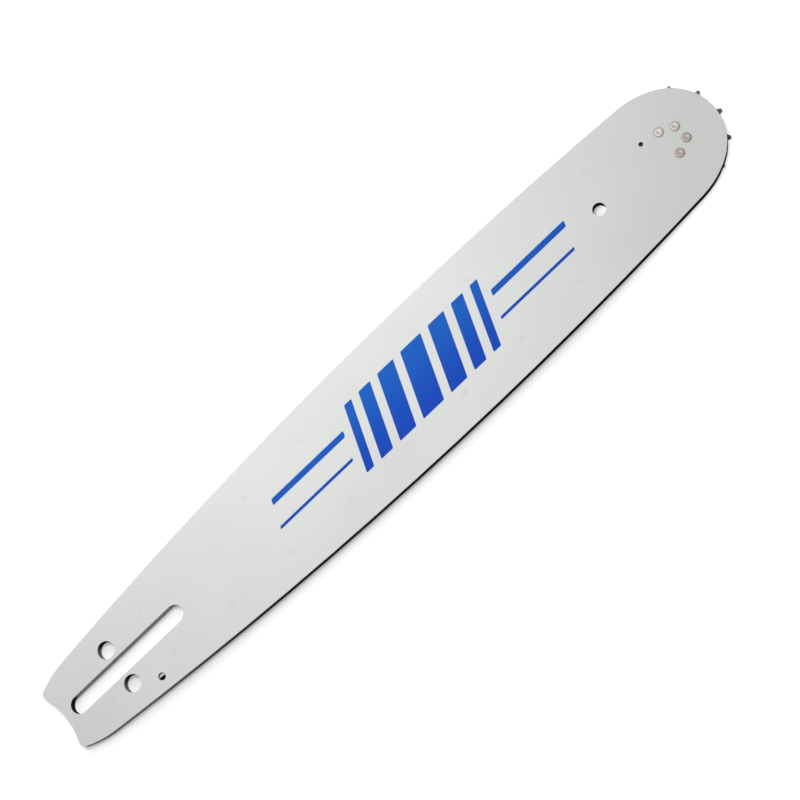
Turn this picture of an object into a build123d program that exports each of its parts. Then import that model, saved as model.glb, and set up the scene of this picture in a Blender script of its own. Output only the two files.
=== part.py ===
from build123d import *
import math
import os

os.makedirs("parts", exist_ok=True)

# Sheets, in millimetres: x runs from the tail to the nose, z up from the underside, origin under the middle of the slot
plate_thickness = 1.8
core_thickness = 1.6
groove_depth = 7.6
edge_break = 0.1

# Stud slot and tail
slot_length = 76.3
slot_width = 9.5
tail_wall = 5.0
tail_notch_depth = 3.6
tail_half_width = 16.9
tail_corner_radius = 3.0
shoulder_run = 18.8
shoulder_half_width = 22.7

# Crown and nose
crown_x = 223.0
crown_half_width = 36.25
sprocket_x = 375.4
nose_radius = 29.3
nose_setback = 2.3
flare_width = 2.2
flare_setback = 7.65

# Holes through all the sheets
adjuster_x = -5.4
adjuster_y = 11.2
adjuster_diameter = 9.3
hang_setback = 48.6
hang_diameter = 7.0

# Holes through one side plate
oil_x = 8.4
oil_diameter = 4.0
oil_overhang = 0.4
grease_setback = 11.4
grease_y = 9.55
grease_diameter = 2.4

# Spot welds, two rows that bow outwards
weld_count = 10
weld_tail_x = -19.1
weld_tail_y = 11.6
weld_crown_y = 21.1
weld_nose_setback = 40.95
weld_nose_y = 18.9
weld_diameter = 4.6
weld_floor_diameter = 1.2
weld_depth = 0.12

# Nose sprocket
tooth_count = 12
tooth_phase = 19.2
tooth_reach = 2.3
tip_land = 1.4
gullet_radius = 4.5
gullet_depth = 7.2
pocket_clearance = 0.8
side_clearance = 0.1

# Nose rivets
rivet_count = 4
rivet_ring_radius = 7.75
rivet_spread = 197.0
rivet_shank_diameter = 3.4
rivet_head_diameter = 5.0
rivet_head_height = 0.6
rivet_rim_height = 0.4
rivet_dish_diameter = 3.0
rivet_dish_depth = 0.15

# Nose bearing
race_wall = 2.95
roller_diameter = 3.0
roller_spacing = 0.1
bearing_clearance = 0.05

# Levels
front_z = plate_thickness + core_thickness
top_z = front_z + plate_thickness
middle_z = top_z / 2
sprocket_z = plate_thickness + side_clearance
sprocket_thickness = core_thickness - 2 * side_clearance

# Places along the bar
notch_x = -slot_length / 2 - tail_wall
tail_x = notch_x - tail_notch_depth
shoulder_x = tail_x + shoulder_run
flare_x = sprocket_x - flare_setback
nose_x = sprocket_x - nose_setback
hang_x = sprocket_x - hang_setback

# Sizes that follow from the nose
tip_radius = nose_radius - nose_setback + tooth_reach
half_pitch = 180 / tooth_count
race_radius = rivet_ring_radius + rivet_shank_diameter / 2 + race_wall
roller_ring_radius = race_radius + bearing_clearance + roller_diameter / 2
bore_radius = roller_ring_radius + roller_diameter / 2 + bearing_clearance
roller_count = math.floor(2 * math.pi * roller_ring_radius / (roller_diameter + roller_spacing))

# Outline of the side plates
with BuildSketch() as bar_profile:
    with BuildLine():
        flank = ThreePointArc(
            (shoulder_x, shoulder_half_width),
            (crown_x, crown_half_width),
            (flare_x, nose_radius + flare_width),
        )
        TangentArc(flank @ 0, (tail_x, tail_half_width), tangent=(flank % 0) * -1)
        # The flare leaves the flank and runs into the nose arc with no corner at either end
        heading = flank % 1
        inward = Vector(heading.Y, -heading.X)
        nose_centre = Vector(nose_x, 0)
        away = (flank @ 1) - nose_centre
        flare_radius = (nose_radius**2 - away.dot(away)) / (2 * (away.dot(inward) + nose_radius))
        flare_centre = (flank @ 1) + inward * flare_radius
        flare_end = flare_centre + (nose_centre - flare_centre).normalized() * flare_radius
        TangentArc(flank @ 1, flare_end, tangent=heading)
        mirror(about=Plane.XZ)
        ThreePointArc(flare_end, (nose_x + nose_radius, 0), (flare_end.X, -flare_end.Y))
        ThreePointArc((tail_x, tail_half_width), (notch_x, 0), (tail_x, -tail_half_width))
    make_face()
    fillet(bar_profile.vertices().group_by(Axis.X)[0], radius=tail_corner_radius)

# Slot and holes that go through all three sheets
with BuildSketch() as through_holes:
    SlotOverall(slot_length, slot_width)
    with Locations((adjuster_x, adjuster_y), (adjuster_x, -adjuster_y)):
        Circle(adjuster_diameter / 2)
    with Locations((hang_x, 0)):
        Circle(hang_diameter / 2)

# Ring of rivets around the sprocket's centre, open towards the tail
with BuildSketch() as rivet_holes:
    with Locations((sprocket_x, 0)):
        with PolarLocations(rivet_ring_radius, rivet_count, -rivet_spread / 2, rivet_spread, endpoint=True):
            Circle(rivet_shank_diameter / 2)

# The oil hole's centre lies just outside the core plate's edge, so that the oil runs into the groove
flank_drop = flank.radius - math.sqrt(flank.radius**2 - (oil_x - flank.arc_center.X) ** 2)
oil_y = flank.arc_center.Y + flank.radius - flank_drop - groove_depth + oil_overhang

# Weld rows, mirrored about the centre line
weld_row = ThreePointArc(
    (weld_tail_x, weld_tail_y),
    (crown_x, weld_crown_y),
    (sprocket_x - weld_nose_setback, weld_nose_y),
)
weld_points = [weld_row @ (number / (weld_count - 1)) for number in range(weld_count)]
weld_places = [(point.X, side * point.Y, top_z) for point in weld_points for side in (1, -1)]

# Front side plate
with BuildPart() as front_side_plate:
    with BuildSketch(Plane.XY.offset(front_z)):
        add(bar_profile.sketch)
        add(through_holes.sketch, mode=Mode.SUBTRACT)
        add(rivet_holes.sketch, mode=Mode.SUBTRACT)
        with Locations((oil_x, -oil_y)):
            Circle(oil_diameter / 2, mode=Mode.SUBTRACT)
        with Locations((sprocket_x - grease_setback, grease_y)):
            Circle(grease_diameter / 2, mode=Mode.SUBTRACT)
    extrude(amount=plate_thickness)
    chamfer(front_side_plate.faces().sort_by(Axis.Z)[-1].outer_wire().edges(), length=edge_break)
    with Locations(*weld_places):
        Cone(
            weld_floor_diameter / 2,
            weld_diameter / 2,
            weld_depth,
            align=(Align.CENTER, Align.CENTER, Align.MAX),
            mode=Mode.SUBTRACT,
        )
front_side_plate.part.label = "front_side_plate"
export_step(front_side_plate.part, "parts/front_side_plate.step")

# Rear side plate, the same stamping turned over about the bar's centre line
with BuildPart() as rear_side_plate:
    add(front_side_plate.part.rotate(Axis((0, 0, middle_z), (1, 0, 0)), 180))
rear_side_plate.part.label = "rear_side_plate"
export_step(rear_side_plate.part, "parts/rear_side_plate.step")

# Core plate: flush at the tail, set in by the groove's depth along the rails, hollowed for the sprocket
with BuildSketch() as core_tail:
    add(bar_profile.sketch)
    with Locations((shoulder_x, 0)):
        Rectangle(2 * shoulder_run, 2 * (shoulder_half_width - groove_depth), mode=Mode.INTERSECT)
with BuildPart() as core_plate:
    with BuildSketch(Plane.XY.offset(plate_thickness)):
        add(bar_profile.sketch)
        offset(amount=-groove_depth)
        add(core_tail.sketch)
        with Locations((sprocket_x, 0)):
            Circle(tip_radius + pocket_clearance, mode=Mode.SUBTRACT)
        add(through_holes.sketch, mode=Mode.SUBTRACT)
    extrude(amount=core_thickness)
core_plate.part.label = "core_plate"
export_step(core_plate.part, "parts/core_plate.step")

# Nose sprocket, with a gullet for each drive link of the chain
with BuildSketch() as gullet:
    with Locations((tip_radius - gullet_depth + gullet_radius, 0)):
        Circle(gullet_radius)
    with Locations((tip_radius * math.cos(math.radians(half_pitch)) + gullet_depth / 2, 0)):
        Rectangle(gullet_depth, 2 * tip_radius * math.sin(math.radians(half_pitch)) - tip_land)
    make_hull()
with BuildPart() as nose_sprocket:
    with BuildSketch(Plane((sprocket_x, 0, sprocket_z))):
        Circle(tip_radius)
        with PolarLocations(0, tooth_count, start_angle=tooth_phase + half_pitch):
            add(gullet.sketch, mode=Mode.SUBTRACT)
        Circle(bore_radius, mode=Mode.SUBTRACT)
    extrude(amount=sprocket_thickness)
nose_sprocket.part.label = "nose_sprocket"
export_step(nose_sprocket.part, "parts/nose_sprocket.step")

# Bearing race, clamped between the side plates by the rivets
with BuildPart() as bearing_race:
    with BuildSketch(Plane.XY.offset(plate_thickness)):
        with Locations((sprocket_x, 0)):
            Circle(race_radius)
        add(rivet_holes.sketch, mode=Mode.SUBTRACT)
    extrude(amount=core_thickness)
bearing_race.part.label = "bearing_race"
export_step(bearing_race.part, "parts/bearing_race.step")

# Bearing rollers, a full ring between the race and the sprocket
for number in range(roller_count):
    turn = 2 * math.pi * number / roller_count
    roller_x = sprocket_x + roller_ring_radius * math.cos(turn)
    roller_y = roller_ring_radius * math.sin(turn)
    with BuildPart(Plane((roller_x, roller_y, sprocket_z))) as bearing_roller:
        Cylinder(
            roller_diameter / 2,
            sprocket_thickness,
            align=(Align.CENTER, Align.CENTER, Align.MIN),
        )
    bearing_roller.part.label = f"bearing_roller_{number + 1:02d}"
    export_step(bearing_roller.part, f"parts/{bearing_roller.part.label}.step")

# Nose rivets, with a low dished head on each side
with BuildPart() as rivet:
    with BuildSketch(Plane.XZ):
        with BuildLine():
            Polyline(
                (0, top_z + rivet_head_height - rivet_dish_depth),
                (0, middle_z),
                (rivet_shank_diameter / 2, middle_z),
                (rivet_shank_diameter / 2, top_z),
                (rivet_head_diameter / 2, top_z),
                (rivet_head_diameter / 2, top_z + rivet_rim_height),
            )
            TangentArc(
                (rivet_dish_diameter / 2, top_z + rivet_head_height),
                (rivet_head_diameter / 2, top_z + rivet_rim_height),
                tangent=(1, 0),
            )
            Line(
                (rivet_dish_diameter / 2, top_z + rivet_head_height),
                (0, top_z + rivet_head_height - rivet_dish_depth),
            )
        make_face()
    revolve(axis=Axis.Z)
    mirror(about=Plane.XY.offset(middle_z))
with BuildPart() as nose_rivets:
    with Locations((sprocket_x, 0)):
        with PolarLocations(rivet_ring_radius, rivet_count, -rivet_spread / 2, rivet_spread, endpoint=True):
            add(rivet.part)
nose_rivets.part.label = "nose_rivets"
export_step(nose_rivets.part, "parts/nose_rivets.step")

roller_ratio = bore_radius / (race_radius + bore_radius)
print("oil hole at", oil_x, -oil_y)
print("rollers", roller_count, "ring turns at", roller_ratio, "of the sprocket")
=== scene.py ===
import math
import bmesh
import bpy
from mathutils import Matrix, Vector


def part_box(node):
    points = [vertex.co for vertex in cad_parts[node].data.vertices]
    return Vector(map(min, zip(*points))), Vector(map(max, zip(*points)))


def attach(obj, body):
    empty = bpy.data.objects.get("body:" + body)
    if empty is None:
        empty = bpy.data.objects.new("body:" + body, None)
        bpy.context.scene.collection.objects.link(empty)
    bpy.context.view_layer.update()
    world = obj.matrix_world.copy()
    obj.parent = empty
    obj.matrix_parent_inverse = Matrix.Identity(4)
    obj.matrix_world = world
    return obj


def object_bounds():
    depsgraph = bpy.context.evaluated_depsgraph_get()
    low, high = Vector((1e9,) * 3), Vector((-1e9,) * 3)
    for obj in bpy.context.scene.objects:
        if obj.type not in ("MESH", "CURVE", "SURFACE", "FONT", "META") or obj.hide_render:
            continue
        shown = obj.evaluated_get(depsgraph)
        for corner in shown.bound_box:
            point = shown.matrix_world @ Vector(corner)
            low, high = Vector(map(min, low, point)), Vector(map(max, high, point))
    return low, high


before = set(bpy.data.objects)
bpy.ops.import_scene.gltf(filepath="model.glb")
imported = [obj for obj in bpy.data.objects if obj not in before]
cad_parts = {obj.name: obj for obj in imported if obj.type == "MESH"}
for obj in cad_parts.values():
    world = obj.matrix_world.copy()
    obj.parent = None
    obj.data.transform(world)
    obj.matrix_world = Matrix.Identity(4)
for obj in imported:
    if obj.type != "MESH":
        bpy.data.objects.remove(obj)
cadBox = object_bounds()
_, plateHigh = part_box("front_side_plate")
rearLow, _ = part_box("rear_side_plate")
rivetLow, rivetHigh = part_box("nose_rivets")
print("frame loaded:", len(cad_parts), "nodes")


class Field:  # one socket of a material, with sums written as sums
    def __init__(self, tree, socket=None):
        self.tree = tree
        self.socket = socket

    def node(self, kind, settings=None, inputs=None, out=0):
        made = self.tree.nodes.new(kind)
        for name, value in (settings or {}).items():
            setattr(made, name, value)
        for name, value in (inputs or {}).items():
            if isinstance(value, Field):
                self.tree.links.new(value.socket, made.inputs[name])
            else:
                made.inputs[name].default_value = value
        return Field(self.tree, made.outputs[out] if made.outputs else None)

    def maths(self, operation, first, second=0.0):
        return self.node("ShaderNodeMath", {"operation": operation}, {0: first, 1: second})

    def __add__(self, other):
        return self.maths("ADD", self, other)

    def __radd__(self, other):
        return self.maths("ADD", other, self)

    def __sub__(self, other):
        return self.maths("SUBTRACT", self, other)

    def __rsub__(self, other):
        return self.maths("SUBTRACT", other, self)

    def __mul__(self, other):
        return self.maths("MULTIPLY", self, other)

    def __rmul__(self, other):
        return self.maths("MULTIPLY", other, self)

    def __abs__(self):
        return self.maths("ABSOLUTE", self)


def startFinish(name):
    finish = bpy.data.materials.new(name)
    finish.use_nodes = True
    finish.node_tree.nodes.clear()
    return finish, Field(finish.node_tree)


def rgba(colour):
    return (*colour, 1)


def coordinates(field, kind="Object"):
    return field.node("ShaderNodeTexCoord", out=kind)


def axisOf(field, vector, axis):
    return field.node("ShaderNodeSeparateXYZ", inputs={0: vector}, out=axis)


def noise(field, place, scale, detail=3.0):
    return field.node("ShaderNodeTexNoise", inputs={"Vector": place, "Scale": scale, "Detail": detail})


def ease(field, value, low, high, start=0.0, end=1.0):
    inputs = {"Value": value, "From Min": low, "From Max": high, "To Min": start, "To Max": end}
    return field.node("ShaderNodeMapRange", {"interpolation_type": "SMOOTHSTEP"}, inputs)


def mixColour(field, factor, first, second):
    inputs = {0: factor, 6: first, 7: second}  # 6, 7 and output 2 are the node's colours
    return field.node("ShaderNodeMix", {"data_type": "RGBA"}, inputs, out=2)


def bump(field, height, strength, distance, slope=None):
    inputs = {"Strength": strength, "Distance": distance, "Height": height}
    if slope:
        inputs["Normal"] = slope
    return field.node("ShaderNodeBump", inputs=inputs)


def surface(field, inputs):
    return field.node("ShaderNodeBsdfPrincipled", inputs=inputs)


def close(field, shader, mask=None, masked=None):
    if mask:
        shader = field.node("ShaderNodeMixShader", inputs={0: mask, 1: shader, 2: masked})
    field.node("ShaderNodeOutputMaterial", inputs={"Surface": shader})


def dress(nodes, finish):
    for name in nodes:
        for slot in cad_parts[name].material_slots:
            slot.material = finish


# Pairs give where something starts and where it is whole
bare = {
    "middle": (plateHigh.z + rearLow.z) / 2,
    "upright": (0.45, 0.12),  # upward share of the normal, on the cut sides of a sheet
    "inside": (0.0013, 0.0009),  # height over the middle, on the plates' inner faces
    # painted shade: the cut sides and the plates' inner faces are bare steel painted near-black, darker
    # than steel, for the shade they lie in
    "black": (0.006, 0.006, 0.006),
    "tailEnd": -0.041,
    "railSide": 0.0165,  # distance from the centre line where the rails begin, at the tail
    "railSpread": 0.11,
    "railMost": 0.026,
    "railFade": 0.0005,
    "grey": (0.045, 0.042, 0.042),
    "greyAlong": (0.25, 0.15),
    "brown": (0.57, 0.515, 0.50),
    "brownAlong": (0.08, -0.04),
    "rubbed": (0.40, 0.38, 0.373),
    "slotSide": (0.0056, 0.0052),
    "slotTail": (-0.034, -0.032),
    "slotNose": (0.1, 0.09),
    # painted light: sides of round holes that face the nose are painted paler, as lit sides
    "paintedLitSide": (0.26, 0.25, 0.245),
    "paintedLitFacing": (0.4, 0.85),  # share of the normal that points to the nose
    "paintedLitTail": (-0.03, -0.025),
    "paintedLitNose": (0.345, 0.34),
    "grimeScale": 700.0,
    "grimeRange": (0.35, 0.75),
    "grimeMost": 0.35,
    "roughness": 0.7,
    "roughSpread": 0.25,
    "gloss": 0.05,
}


def wallMask(field):
    upright = abs(axisOf(field, coordinates(field, "Normal"), "Z"))
    return ease(field, upright, *bare["upright"])


def railMask(field, along, across):  # outer edges of the plates, which part towards the crown
    side = bare["railSide"] + (along - bare["tailEnd"]) * bare["railSpread"]
    side = field.maths("MINIMUM", side, bare["railMost"])
    past = field.maths("MAXIMUM", bare["tailEnd"] - along, across - side)
    return ease(field, past, 0.0, bare["railFade"]) * wallMask(field)


# bare steel for cut sides and inner faces, with painted shade (near-black) and painted light (paler hole
# sides)
def bareSteelAndPaintedLight(field, place):
    along = axisOf(field, place, "X")
    across = abs(axisOf(field, place, "Y"))
    facing = axisOf(field, coordinates(field, "Normal"), "X")
    rail = railMask(field, along, across)
    grey = ease(field, along, *bare["greyAlong"]) * rail  # the rails' cut sides turn grey, then brown, towards the tail
    brown = ease(field, along, *bare["brownAlong"]) * rail
    paintedLitSide = ease(field, facing, *bare["paintedLitFacing"]) * (1 - rail)  # painted light: round holes painted paler on their side by the tail, as if lit
    paintedLitSide = paintedLitSide * ease(field, along, *bare["paintedLitTail"]) * ease(field, along, *bare["paintedLitNose"])
    rubbed = ease(field, across, *bare["slotSide"])  # clean where the studs slide
    rubbed = rubbed * ease(field, along, *bare["slotTail"]) * ease(field, along, *bare["slotNose"])
    grime = noise(field, place, bare["grimeScale"])
    grimy = ease(field, grime, *bare["grimeRange"], 0.0, bare["grimeMost"])
    colour = mixColour(field, grey, rgba(bare["black"]), rgba(bare["grey"]))
    colour = mixColour(field, paintedLitSide, colour, rgba(bare["paintedLitSide"]))
    colour = mixColour(field, brown, colour, rgba(bare["brown"]))
    colour = mixColour(field, rubbed, colour, rgba(bare["rubbed"]))
    return surface(field, {
        "Base Color": mixColour(field, grimy, colour, rgba(bare["black"])),
        "Roughness": bare["roughness"] + grime * bare["roughSpread"],
        "Specular IOR Level": bare["gloss"],
    })


paint = {
    "colour": (0.655, 0.668, 0.650),
    "shade": (0.628, 0.641, 0.624),
    "cloudScale": 14.0,
    "cloudShare": 0.85,
    "grainScale": 900.0,
    "grainDetail": 2.0,
    "toneRange": (0.35, 0.65),
    "face": plateHigh.z - bare["middle"],
    # painted shade: the weld dents' floors a little darker
    "weldShade": (0.622, 0.635, 0.618),
    "weldRim": 0.000007,  # depths under the face
    "weldFloor": 0.00007,
    "roughness": 0.52,
    "roughSpread": 0.06,
    "gloss": 0.25,
    "peelScale": 1400.0,
    "peelDetail": 1.0,
    "peelStrength": 0.04,
    "peelDistance": 0.0001,
}


def makePaint():
    finish, field = startFinish("platePaint")
    place = coordinates(field)
    height = abs(axisOf(field, place, "Z") - bare["middle"])
    # the cut sides and inner faces take bare steel, painted dark as shade
    bareAndShaded = field.maths("MAXIMUM", wallMask(field), ease(field, height, *bare["inside"]))
    cloud = noise(field, place, paint["cloudScale"])
    grain = noise(field, place, paint["grainScale"], paint["grainDetail"])
    mottle = cloud * paint["cloudShare"] + grain * (1 - paint["cloudShare"])
    tone = ease(field, mottle, *paint["toneRange"])
    colour = mixColour(field, tone, rgba(paint["shade"]), rgba(paint["colour"]))
    # painted shade in the weld dents
    weldShade = ease(field, height, paint["face"] - paint["weldRim"], paint["face"] - paint["weldFloor"])
    peel = noise(field, place, paint["peelScale"], paint["peelDetail"])
    coat = surface(field, {
        "Base Color": mixColour(field, weldShade, colour, rgba(paint["weldShade"])),
        "Roughness": paint["roughness"] + grain * paint["roughSpread"],
        "Specular IOR Level": paint["gloss"],
        "Normal": bump(field, peel, paint["peelStrength"], paint["peelDistance"]),
    })
    close(field, coat, bareAndShaded, bareSteelAndPaintedLight(field, place))
    return finish


steel = {
    "core": {
        # painted light: the core is painted paler than its steel, so it shows light in the oil hole's
        # shade
        "light": (0.82, 0.81, 0.80),
        "dark": (0.7, 0.69, 0.68),
        "metallic": 0.2,
        "roughness": 0.5,
    },
    "sprocket": {
        "light": (0.17, 0.167, 0.165),
        "dark": (0.09, 0.088, 0.086),
        "metallic": 0.3,
        "roughness": 0.45,
        # painted shade: the sprocket darker towards the bar's -Y side
        "shadedSide": (0.012, -0.016),  # across the bar
        "shadeMost": 0.93,
    },
    "bearing": {
        "light": (0.06, 0.058, 0.055),
        "dark": (0.012, 0.012, 0.011),
        "metallic": 0.3,
        "roughness": 0.5,
    },
    "grindStretch": (1, 9, 1),
    "grindScale": 420.0,
    "grindDetail": 2.0,
    "grindShare": 0.5,
    "grindStrength": 0.12,
    "grindDistance": 0.00008,
    "blotchScale": 60.0,
    "blotchDetail": 4.0,
    "toneRange": (0.35, 0.65),
    "roughSpread": 0.15,
}


def makeSteel(kind, blackWalls=False):
    look = steel[kind]
    finish, field = startFinish(kind + "Steel")
    place = coordinates(field)
    lines = field.node("ShaderNodeMapping", inputs={"Vector": place, "Scale": steel["grindStretch"]})
    grind = noise(field, lines, steel["grindScale"], steel["grindDetail"])
    blotch = noise(field, place, steel["blotchScale"], steel["blotchDetail"])
    mottle = grind * steel["grindShare"] + blotch * (1 - steel["grindShare"])
    tone = ease(field, mottle, *steel["toneRange"])
    colour = mixColour(field, tone, rgba(look["dark"]), rgba(look["light"]))
    if "shadedSide" in look:
        # painted shade across the sprocket
        shadedSide = ease(field, axisOf(field, place, "Y"), *look["shadedSide"], 0.0, look["shadeMost"])
        colour = mixColour(field, shadedSide, colour, rgba(bare["black"]))
    metal = surface(field, {
        "Base Color": colour,
        "Roughness": look["roughness"] + blotch * steel["roughSpread"],
        "Metallic": look["metallic"],
        "Normal": bump(field, grind, steel["grindStrength"], steel["grindDistance"]),
    })
    # the cut sides take bare steel, painted near-black as shade
    if blackWalls:
        close(field, metal, wallMask(field), bareSteelAndPaintedLight(field, place))
    else:
        close(field, metal)
    return finish


rivets = {
    "crest": (0.62, 0.57, 0.55),
    "hollow": (0.44, 0.38, 0.36),
    "dishDrop": 0.00015,
    "crestShare": 0.8,
    # painted shade: the heads darker towards the -Y side
    "shadedCrescent": (0.33, 0.275, 0.25),
    "crescentAcross": (0.008, -0.005),
    "crescentMost": 0.75,
    # painted shade: the heads' upright sides near-black
    "foot": (0.07, 0.055, 0.05),
    "crown": (2.6, 2.6, 1.0),  # steepens the low heads
    "metallic": 0.2,
    "roughness": 0.42,
    "roughSpread": 0.12,
    "scuffScale": 1300.0,
    "scuffStrength": 0.1,
    "scuffDistance": 0.00006,
}


def makeRivetSteel():
    finish, field = startFinish("rivetSteel")
    place = coordinates(field)
    middle = (rivetLow.z + rivetHigh.z) / 2
    height = abs(axisOf(field, place, "Z") - middle)
    crest = rivetHigh.z - middle
    raised = ease(field, height, crest - rivets["dishDrop"], crest)
    scuff = noise(field, place, rivets["scuffScale"])
    tone = raised * rivets["crestShare"] + scuff * (1 - rivets["crestShare"])
    colour = mixColour(field, tone, rgba(rivets["hollow"]), rgba(rivets["crest"]))
    # painted shade on the heads' -Y side
    shadedCrescent = ease(field, axisOf(field, place, "Y"), *rivets["crescentAcross"], 0.0, rivets["crescentMost"])
    colour = mixColour(field, shadedCrescent, colour, rgba(rivets["shadedCrescent"]))
    slopeInputs = {0: coordinates(field, "Normal"), 1: rivets["crown"]}
    slope = field.node("ShaderNodeVectorMath", {"operation": "MULTIPLY"}, slopeInputs)
    slope = field.node("ShaderNodeVectorMath", {"operation": "NORMALIZE"}, {0: slope})
    close(field, surface(field, {
        # painted shade on the heads' upright sides
        "Base Color": mixColour(field, wallMask(field), colour, rgba(rivets["foot"])),
        "Roughness": rivets["roughness"] + scuff * rivets["roughSpread"],
        "Metallic": rivets["metallic"],
        "Normal": bump(field, scuff, rivets["scuffStrength"], rivets["scuffDistance"], slope),
    }))
    return finish


dress(["front_side_plate", "rear_side_plate"], makePaint())
dress(["core_plate"], makeSteel("core", True))
dress(["nose_sprocket"], makeSteel("sprocket", True))
dress(["nose_rivets"], makeRivetSteel())
dress([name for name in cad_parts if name.startswith("bearing")], makeSteel("bearing"))
print("steel and paint on the bar")

stripes = {
    "widths": (0.005, 0.008, 0.011, 0.014, 0.011, 0.008, 0.005),
    "start": 0.160,
    "gap": 0.005,
    "low": -0.016,
    "high": 0.018,
    "lean": 0.014,
    "rules": ((0.0055, 0.0087), (-0.0065, -0.0049)),
    "ruleReach": 0.050,
    "filmHeight": 0.00002,
    "corner": 0.0006,
    "cornerMost": 0.3,  # share of a field's shorter side
    "cornerSteps": 4,
    "cornerRound": 0.5,
    "deep": (0.009, 0.055, 0.447),
    "pale": (0.0105, 0.112, 0.488),
    "fadeShare": 0.8,
    "patchScale": 220.0,
    "roughness": 0.5,
    "roughSpread": 0.08,
    "gloss": 0.04,
    "peelScale": 1400.0,
    "peelDetail": 1.0,
    "peelStrength": 0.05,
    "peelDistance": 0.0001,
}


def makeInk():
    finish, field = startFinish("blueInk")
    place = coordinates(field)
    fade = ease(field, axisOf(field, place, "Y"), stripes["low"], stripes["high"])
    patch = noise(field, place, stripes["patchScale"])
    tone = fade * stripes["fadeShare"] + patch * (1 - stripes["fadeShare"])
    peel = noise(field, place, stripes["peelScale"], stripes["peelDetail"])
    close(field, surface(field, {
        "Base Color": mixColour(field, tone, rgba(stripes["deep"]), rgba(stripes["pale"])),
        "Roughness": stripes["roughness"] + patch * stripes["roughSpread"],
        "Specular IOR Level": stripes["gloss"],
        "Normal": bump(field, peel, stripes["peelStrength"], stripes["peelDistance"]),
    }))
    return finish


def slantedField(mesh, left, right, low, high):
    lean = stripes["lean"] / (stripes["high"] - stripes["low"])
    corners = [(left, low), (right, low), (right, high), (left, high)]
    base = plateHigh.z + stripes["filmHeight"]
    points = [mesh.verts.new((x + lean * y, y, base)) for x, y in corners]
    mesh.faces.new(points)
    inset = min(stripes["corner"], stripes["cornerMost"] * min(right - left, high - low))
    bmesh.ops.bevel(
        mesh,
        geom=points,
        offset=inset,
        segments=stripes["cornerSteps"],
        affect="VERTICES",
        profile=stripes["cornerRound"],
    )


def thicken(mesh, depth):  # closes each flat field into a film of that thickness
    film = bmesh.ops.extrude_face_region(mesh, geom=mesh.faces[:])["geom"]
    under = [part for part in film if isinstance(part, bmesh.types.BMVert)]
    bmesh.ops.translate(mesh, verts=under, vec=(0, 0, -depth))
    bmesh.ops.recalc_face_normals(mesh, faces=mesh.faces[:])


def makeStripes():
    mesh = bmesh.new()
    left = stripes["start"]
    for width in stripes["widths"]:
        slantedField(mesh, left, left + width, stripes["low"], stripes["high"])
        left += width + stripes["gap"]
    ruleEnd = stripes["start"] - stripes["gap"]
    for low, high in stripes["rules"]:
        slantedField(mesh, ruleEnd - stripes["ruleReach"], ruleEnd, low, high)
        slantedField(mesh, left, left + stripes["ruleReach"], low, high)
    thicken(mesh, stripes["filmHeight"])
    data = bpy.data.meshes.new("blueStripes")
    mesh.to_mesh(data)
    mesh.free()
    piece = bpy.data.objects.new("blueStripes", data)
    bpy.context.scene.collection.objects.link(piece)
    data.materials.append(makeInk())
    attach(piece, "bar")


makeStripes()
print("stripes printed on the front plate")

floor = {
    "size": 6.0,
    "colour": (0.9, 0.882, 0.886),
    "nearLift": (0.23, 0.23, 0.23),
    "farLift": (0.78, 0.78, 0.78),
    "liftEnds": (0.03, 0.25),  # stretch of the bar's axis that the distances are taken from
    "liftReach": (0.03, 0.20),
}


def seenByCamera(field):  # also in a reflection or through glass
    rays = ("Is Camera Ray", "Is Glossy Ray", "Is Transmission Ray")
    direct, glossy, through = [field.node("ShaderNodeLightPath", out=ray) for ray in rays]
    return field.maths("MINIMUM", direct + glossy + through, 1.0)


def makeFloor():
    level = cadBox[0].z
    half = floor["size"] / 2
    data = bpy.data.meshes.new("tableTop")
    corners = [(-half, -half, level), (half, -half, level), (half, half, level), (-half, half, level)]
    data.from_pydata(corners, [], [(0, 1, 2, 3)])
    piece = bpy.data.objects.new("tableTop", data)
    bpy.context.scene.collection.objects.link(piece)
    finish, field = startFinish("tableWhite")
    matt = field.node("ShaderNodeBsdfDiffuse", inputs={"Color": rgba(floor["colour"])})
    place = coordinates(field)
    along = axisOf(field, place, "X")
    across = axisOf(field, place, "Y")
    tailward, noseward = floor["liftEnds"]
    nearest = field.maths("MINIMUM", field.maths("MAXIMUM", along, tailward), noseward)
    beyond = along - nearest
    away = field.maths("SQRT", beyond * beyond + across * across)
    far = ease(field, away, *floor["liftReach"])
    lift = mixColour(field, far, rgba(floor["nearLift"]), rgba(floor["farLift"]))
    glow = field.node("ShaderNodeEmission", inputs={"Color": lift})
    lifted = field.node("ShaderNodeAddShader", inputs={0: matt, 1: glow})
    close(field, matt, seenByCamera(field), lifted)
    data.materials.append(finish)


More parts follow.
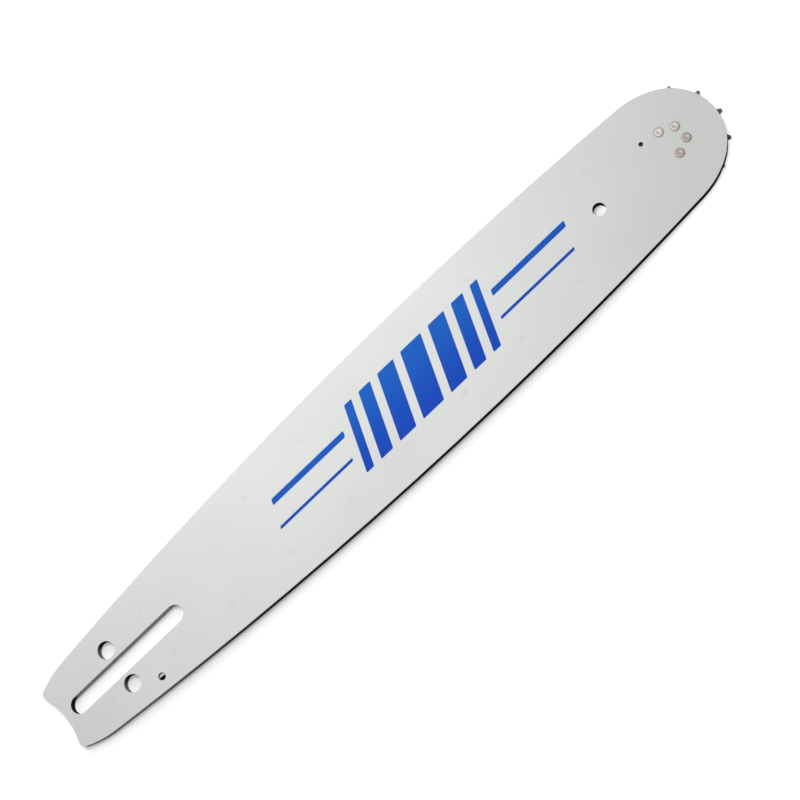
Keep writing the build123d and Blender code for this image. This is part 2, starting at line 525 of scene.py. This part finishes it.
light = {
    "sky": (0.25, 0.25, 0.25),
    "white": (1.0, 1.0, 1.0),
    "upward": (1, 0, 0),  # each box's own upward side lies along the bar
    "boxes": {
        "keyBox": {
            "place": (0.153, 0.127, 0.20),
            "aim": (0.153, 0.051, 0.0),
            "along": 0.4,
            "across": 0.2,
            "power": 0.39,
        },
        "fillBox": {
            "place": (0.20, 0.12, 1.0),
            "aim": (0.18, 0.0, 0.0),
            "along": 0.3,
            "across": 0.3,
            "power": 4.7,
        },
    },
}


def aimed(place, aim, upward):
    forward = (Vector(aim) - Vector(place)).normalized()
    right = forward.cross(Vector(upward)).normalized()
    up = right.cross(forward)
    turned = Matrix((right, up, -forward)).transposed().to_4x4()
    return Matrix.Translation(place) @ turned


def makeLight():
    scene = bpy.context.scene
    world = bpy.data.worlds.new("studio")
    scene.world = world
    world.use_nodes = True
    world.node_tree.nodes.clear()
    field = Field(world.node_tree)
    colour = mixColour(field, seenByCamera(field), rgba(light["sky"]), rgba(light["white"]))
    sky = field.node("ShaderNodeBackground", inputs={"Color": colour})
    field.node("ShaderNodeOutputWorld", inputs={"Surface": sky})
    for name, box in light["boxes"].items():
        lamp = bpy.data.lights.new(name, "AREA")
        lamp.shape = "RECTANGLE"
        lamp.size = box["across"]
        lamp.size_y = box["along"]
        lamp.energy = box["power"]
        holder = bpy.data.objects.new(name, lamp)
        holder.matrix_world = aimed(box["place"], box["aim"], light["upward"])
        holder.visible_camera = False
        scene.collection.objects.link(holder)


camera = {
    "place": (0.24055, -0.29288, 0.92475),
    "aim": (0.18982, 0.00122, 0.0004),
    "upTurn": 48.22,  # picture's upward direction on the table, in degrees from the bar's own axis
    "lens": 87.165,
    "sensor": 36.0,
    "nearest": 0.01,
    "farthest": 50.0,
}


def makeCamera():
    turn = math.radians(camera["upTurn"])
    data = bpy.data.cameras.new("photoView")
    data.sensor_width = camera["sensor"]
    data.lens = camera["lens"]
    data.clip_start = camera["nearest"]
    data.clip_end = camera["farthest"]
    holder = bpy.data.objects.new("photoView", data)
    holder.matrix_world = aimed(camera["place"], camera["aim"], (math.cos(turn), math.sin(turn), 0))
    bpy.context.scene.collection.objects.link(holder)
    bpy.context.scene.camera = holder


makeFloor()
makeLight()
makeCamera()
bpy.context.scene.view_settings.view_transform = "Standard"
print("table, light and camera set")
